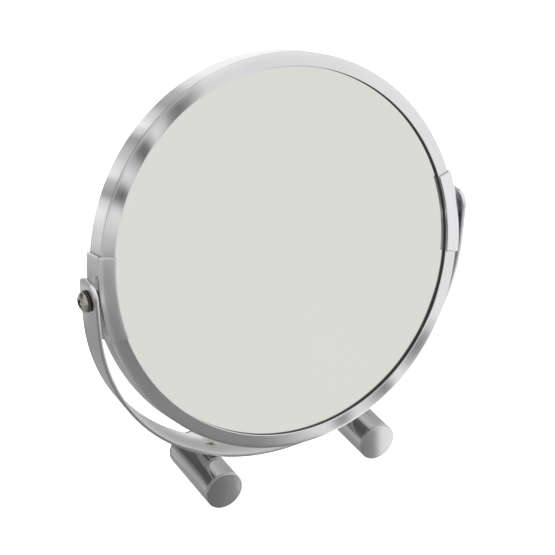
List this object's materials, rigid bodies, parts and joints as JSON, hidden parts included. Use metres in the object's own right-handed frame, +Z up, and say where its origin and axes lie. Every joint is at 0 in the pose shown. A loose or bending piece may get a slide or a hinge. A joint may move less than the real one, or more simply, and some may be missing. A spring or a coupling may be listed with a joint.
{
  "type": "table shaving mirror",
  "caption": "Round two-sided table mirror that swivels in a U-shaped band yoke standing on two short chrome tube feet.",
  "frame": {"origin": "on the table, straight below the middle of the pivot axis; the centre of the bounding box's underside", "axes": "+X to the right along the pivot axis, +Y to the back, +Z up; the front glass faces -Y and leans back 15 degrees"},
  "size_m": [0.2018, 0.0612, 0.2073],
  "materials": {
    "yoke": "satin silver paint",
    "clip": "satin silver paint",
    "rim": "polished, turned",
    "front_glass": "clear mirror",
    "rear_glass": "clear mirror, magnifying",
    "edge_seal": "matt black",
    "foot_tube": "bright chrome",
    "foot_cap": "satin",
    "foot_block": "turned",
    "screw": "nickel plated",
    "foot_pad": "clear silicone",
    "spacer": "plain",
    "board": "grey board",
    "insert": "turned",
    "inner_washer": "white nylon",
    "outer_washer": "black nylon"
  },
  "bodies": {
    "stand": {"yoke": "yoke", "foot_tube_left": "foot_tube", "foot_cap_front_left": "foot_cap", "foot_cap_rear_left": "foot_cap", "foot_block_left": "foot_block", "foot_screw_left": "screw", "foot_pad_left": "foot_pad", "foot_tube_right": "foot_tube", "foot_cap_front_right": "foot_cap", "foot_cap_rear_right": "foot_cap", "foot_block_right": "foot_block", "foot_screw_right": "screw", "foot_pad_right": "foot_pad"},
    "mirror_head": {"rim": "rim", "glass_front": "front_glass", "glass_rear": "rear_glass", "seal_front": "edge_seal", "seal_rear": "edge_seal", "spacer_ring": "spacer", "backing_board": "board", "pivot_clip_left": "clip", "pivot_insert_left": "insert", "pivot_screw_left": "screw", "pivot_washer_inner_left": "inner_washer", "pivot_washer_outer_left": "outer_washer", "pivot_clip_right": "clip", "pivot_insert_right": "insert", "pivot_screw_right": "screw", "pivot_washer_inner_right": "inner_washer", "pivot_washer_outer_right": "outer_washer"}
  },
  "joints": [
    {"name": "mirror_tilt", "type": "hinge", "parent": "stand", "child": "mirror_head", "pos_m": [0, 0, 0.11677], "axis": [1, 0, 0], "continuous": true}
  ]
}
